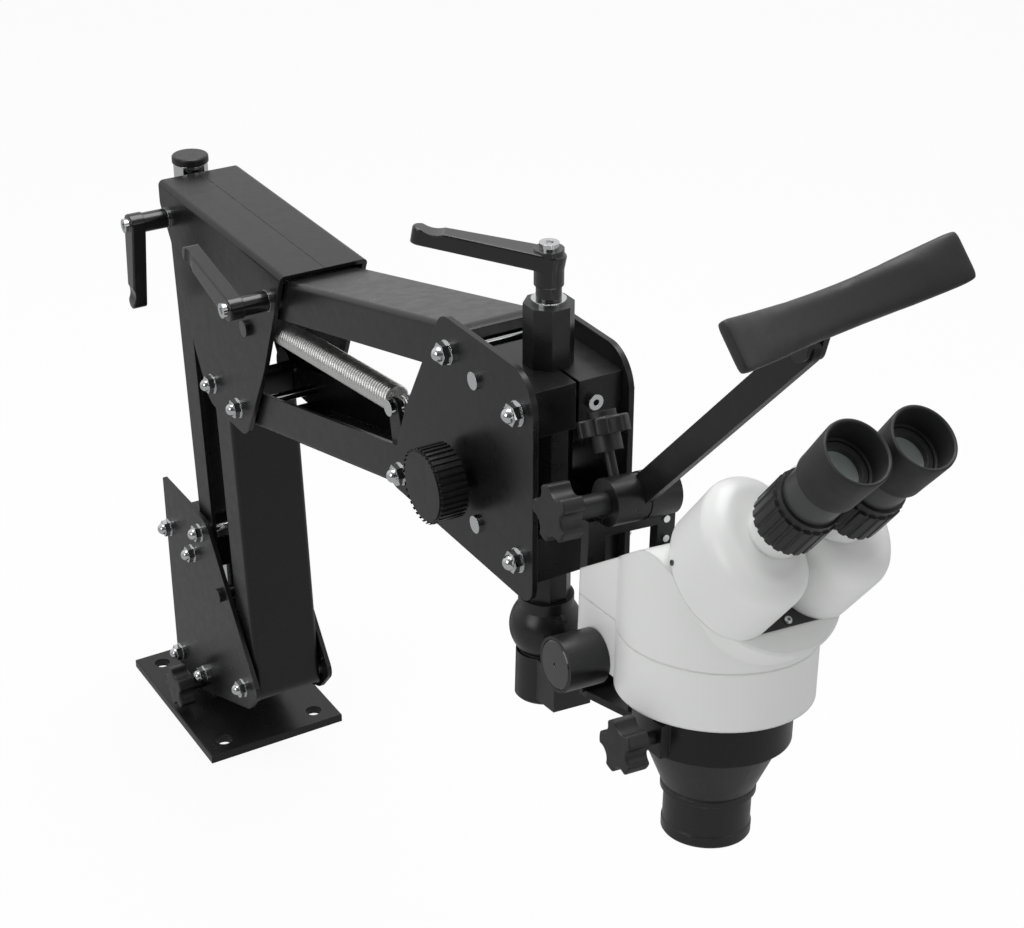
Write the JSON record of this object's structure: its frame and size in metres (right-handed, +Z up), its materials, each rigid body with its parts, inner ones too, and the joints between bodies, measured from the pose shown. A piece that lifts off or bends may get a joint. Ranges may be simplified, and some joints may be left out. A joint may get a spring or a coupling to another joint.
{
  "type": "stereo microscope on a balanced bench arm",
  "caption": "Stereo zoom head with tilted eyepieces on a spring-balanced double parallel-link arm with column, rack focusing, ball joint and forehead rest.",
  "frame": {"origin": "centre of the base plate's underside, which rests on the bench", "axes": "+Z up, along the column; +X from the column towards the head along the arm at rest; +Y to the far side of the arm, away from the focus knob"},
  "size_m": [0.7355, 0.1425, 0.556],
  "materials": {
    "black_powder": "satin black powder coat",
    "black_gloss": "semi-gloss black enamel",
    "chrome": "bright chrome plate",
    "steel": "machined steel",
    "rack_steel": "cut steel teeth, thin oil",
    "grip_plastic": "moulded matt black grip",
    "knob_plastic": "ribbed hard plastic",
    "grey_plastic": "satin light grey plastic",
    "head_paint": "smooth off-white enamel",
    "black_anodised": "satin black anodised",
    "cup_rubber": "soft matt rubber",
    "lens_glass": "coated optical glass",
    "pad_cloth": "black padded vinyl cloth"
  },
  "bodies": {
    "base": {"base_plate": "black_powder", "column": "chrome", "column_cap": "knob_plastic"},
    "support": {"support_collar": "steel"},
    "bracket": {"bracket_plates": "black_powder", "bracket_blocks": "black_powder", "bracket_bolts": "chrome", "lower_spring": "chrome"},
    "lock_knob": {"lock_knob": "grip_plastic"},
    "lower_front_link": {"lower_front_link": "black_powder"},
    "lower_rear_link": {"lower_rear_link": "black_powder"},
    "elbow": {"elbow_covers": "black_powder", "elbow_bolts": "chrome", "upper_anchor": "chrome", "upper_spring": "chrome"},
    "rear_lever": {"rear_lever": "black_gloss"},
    "front_lever": {"front_lever": "black_gloss"},
    "top_link": {"top_link": "black_powder"},
    "bottom_link": {"bottom_link": "black_powder", "spring_bolt": "chrome"},
    "front_bracket": {"front_plates": "black_powder", "guide_blocks": "black_powder", "front_bolts": "chrome"},
    "focus_sleeve": {"sleeve": "black_anodised", "rack": "rack_steel", "sleeve_washer": "chrome"},
    "focus_pinion": {"pinion": "steel", "focus_knob": "knob_plastic"},
    "post": {"ball_post": "steel", "top_lever_screw": "chrome"},
    "top_lever": {"top_lever": "black_gloss"},
    "ball_seat": {"ball_seat": "grip_plastic"},
    "holder": {"socket_collar": "black_anodised", "holder_arm": "black_powder", "scope_ring": "black_powder", "headrest_frame": "black_powder", "holder_screws": "chrome"},
    "ring_knob": {"ring_knob": "grip_plastic"},
    "hinge_knob": {"hinge_knob": "grip_plastic"},
    "stud_knob": {"stud_knob": "grip_plastic"},
    "headrest_arm": {"headrest_arm": "black_powder"},
    "pad_clevis": {"pad_clevis": "steel"},
    "headrest_pad": {"pad_plate": "black_powder", "pad": "pad_cloth"},
    "scope": {"barrel": "black_anodised", "front_lens": "lens_glass", "lower_housing": "head_paint", "upper_housing": "head_paint", "notch_strip": "grip_plastic"},
    "zoom_knobs": {"zoom_knobs": "knob_plastic"},
    "prism_near": {"prism_near": "head_paint"},
    "prism_far": {"prism_far": "head_paint"},
    "eyepiece_near": {"dioptre_near": "knob_plastic", "tube_near": "grey_plastic", "eyecup_near": "cup_rubber", "lens_near": "lens_glass"},
    "eyepiece_far": {"dioptre_far": "knob_plastic", "tube_far": "grey_plastic", "eyecup_far": "cup_rubber", "lens_far": "lens_glass"}
  },
  "joints": [
    {"name": "support_slide", "type": "slide", "parent": "base", "child": "support", "axis": [0, 0, 1], "range_m": [0, 0.2]},
    {"name": "bracket_swivel", "type": "hinge", "parent": "support", "child": "bracket", "pos_m": [-0.013, 0, 0], "axis": [0, 0, 1], "continuous": true},
    {"name": "lock_turn", "type": "hinge", "parent": "bracket", "child": "lock_knob", "pos_m": [0.004, 0, 0.024], "axis": [0, 1, 0], "range_deg": [-180, 180]},
    {"name": "lower_arm_lean", "type": "hinge", "parent": "bracket", "child": "lower_front_link", "pos_m": [0.08408, 0, 0.06398], "axis": [0, 1, 0], "range_deg": [0, 40]},
    {"name": "lower_rear_lean", "type": "hinge", "parent": "bracket", "child": "lower_rear_link", "pos_m": [0.02558, 0, 0.15598], "axis": [0, 1, 0], "range_deg": [0, 40], "deforming": ["lower_spring"]},
    {"name": "elbow_level", "type": "hinge", "parent": "lower_front_link", "child": "elbow", "pos_m": [0.0695, 0, 0.2865], "axis": [0, 1, 0], "range_deg": [-40, 0]},
    {"name": "rear_lever_turn", "type": "hinge", "parent": "elbow", "child": "rear_lever", "pos_m": [0.011, 0, 0.3785], "axis": [0, 1, 0], "range_deg": [-60, 60]},
    {"name": "front_lever_turn", "type": "hinge", "parent": "elbow", "child": "front_lever", "pos_m": [0.1615, 0, 0.3785], "axis": [0, 1, 0], "range_deg": [-60, 60]},
    {"name": "upper_arm_dip", "type": "hinge", "parent": "elbow", "child": "top_link", "pos_m": [0.1615, 0, 0.3785], "axis": [0, 1, 0], "range_deg": [-2.5, 45]},
    {"name": "bottom_link_dip", "type": "hinge", "parent": "elbow", "child": "bottom_link", "pos_m": [0.109, 0, 0.2865], "axis": [0, 1, 0], "range_deg": [-2.5, 45], "deforming": ["upper_spring"]},
    {"name": "front_level", "type": "hinge", "parent": "top_link", "child": "front_bracket", "pos_m": [0.37769, 0, 0.4332], "axis": [0, 1, 0], "range_deg": [-45, 2.5]},
    {"name": "focus_slide", "type": "slide", "parent": "front_bracket", "child": "focus_sleeve", "axis": [0, 0, 1], "range_m": [-0.014, 0.014]},
    {"name": "focus_turn", "type": "hinge", "parent": "front_bracket", "child": "focus_pinion", "pos_m": [0.3885, 0, 0.369], "axis": [0, 1, 0], "range_deg": [-49, 49]},
    {"name": "post_turn", "type": "hinge", "parent": "focus_sleeve", "child": "post", "pos_m": [0.4255, 0, 0.2935], "axis": [0, 0, 1], "range_deg": [-6, 10]},
    {"name": "top_lever_turn", "type": "hinge", "parent": "post", "child": "top_lever", "pos_m": [0.4255, 0, 0.49], "axis": [0, 0, 1], "range_deg": [-90, 90]},
    {"name": "ball_side_tilt", "type": "hinge", "parent": "post", "child": "ball_seat", "pos_m": [0.4255, 0, 0.2935], "axis": [0.9962, 0.0068, 0.0869], "range_deg": [-5, 5]},
    {"name": "ball_nod", "type": "hinge", "parent": "ball_seat", "child": "holder", "pos_m": [0.4255, 0, 0.2935], "axis": [0, 0.9969, -0.0785], "range_deg": [-1, 12]},
    {"name": "ring_knob_turn", "type": "hinge", "parent": "holder", "child": "ring_knob", "pos_m": [0.5744, -0.04545, 0.32777], "axis": [0, 0.9969, -0.0785], "range_deg": [-180, 180]},
    {"name": "headrest_lift", "type": "hinge", "parent": "holder", "child": "headrest_arm", "pos_m": [0.49076, 0.00809, 0.39626], "axis": [0, 0.9969, -0.0785], "range_deg": [-40, 4]},
    {"name": "hinge_knob_turn", "type": "hinge", "parent": "holder", "child": "hinge_knob", "pos_m": [0.49076, -0.0278, 0.39909], "axis": [0, 0.9969, -0.0785], "range_deg": [-180, 180]},
    {"name": "stud_knob_turn", "type": "hinge", "parent": "holder", "child": "stud_knob", "pos_m": [0.49076, -0.00138, 0.39701], "axis": [-0.5, 0.0679, 0.8634], "range_deg": [-180, 180]},
    {"name": "pad_nod", "type": "hinge", "parent": "headrest_arm", "child": "pad_clevis", "pos_m": [0.59615, 0.01727, 0.51295], "axis": [0, 0.9969, -0.0785], "range_deg": [-25, 25]},
    {"name": "pad_twist", "type": "hinge", "parent": "pad_clevis", "child": "headrest_pad", "pos_m": [0.61179, 0.0191, 0.53621], "axis": [0.766, 0.0504, 0.6408], "range_deg": [-20, 20]},
    {"name": "scope_turn", "type": "hinge", "parent": "holder", "child": "scope", "pos_m": [0.56756, 0.00098, 0.30589], "axis": [-0.0872, 0.0782, 0.9931], "range_deg": [-2, 2]},
    {"name": "zoom_turn", "type": "hinge", "parent": "scope", "child": "zoom_knobs", "pos_m": [0.52122, 0.00337, 0.33637], "axis": [0, 0.9969, -0.0785], "range_deg": [-150, 150]},
    {"name": "eye_spacing_near", "type": "hinge", "parent": "scope", "child": "prism_near", "pos_m": [0.59133, -0.00712, 0.40568], "axis": [0.6018, 0.0627, 0.7962], "range_deg": [0, 8]},
    {"name": "eye_spacing_far", "type": "hinge", "parent": "scope", "child": "prism_far", "pos_m": [0.59133, 0.02458, 0.40319], "axis": [0.6018, 0.0627, 0.7962], "range_deg": [-8, 0]},
    {"name": "dioptre_near_turn", "type": "hinge", "parent": "prism_near", "child": "eyepiece_near", "pos_m": [0.61719, -0.00457, 0.44823], "axis": [0.6018, 0.0627, 0.7962], "range_deg": [-170, 170]},
    {"name": "dioptre_far_turn", "type": "hinge", "parent": "prism_far", "child": "eyepiece_far", "pos_m": [0.61719, 0.02872, 0.44561], "axis": [0.6018, 0.0627, 0.7962], "range_deg": [-170, 170]}
  ],
  "couplings": [
    {"joint": "lower_rear_lean", "follows": "lower_arm_lean", "ratio": 1},
    {"joint": "elbow_level", "follows": "lower_arm_lean", "ratio": -1},
    {"joint": "bottom_link_dip", "follows": "upper_arm_dip", "ratio": 1},
    {"joint": "front_level", "follows": "upper_arm_dip", "ratio": -1},
    {"joint": "focus_turn", "follows": "focus_slide", "rad_per_m": -60.606},
    {"joint": "eye_spacing_far", "follows": "eye_spacing_near", "ratio": -1}
  ]
}
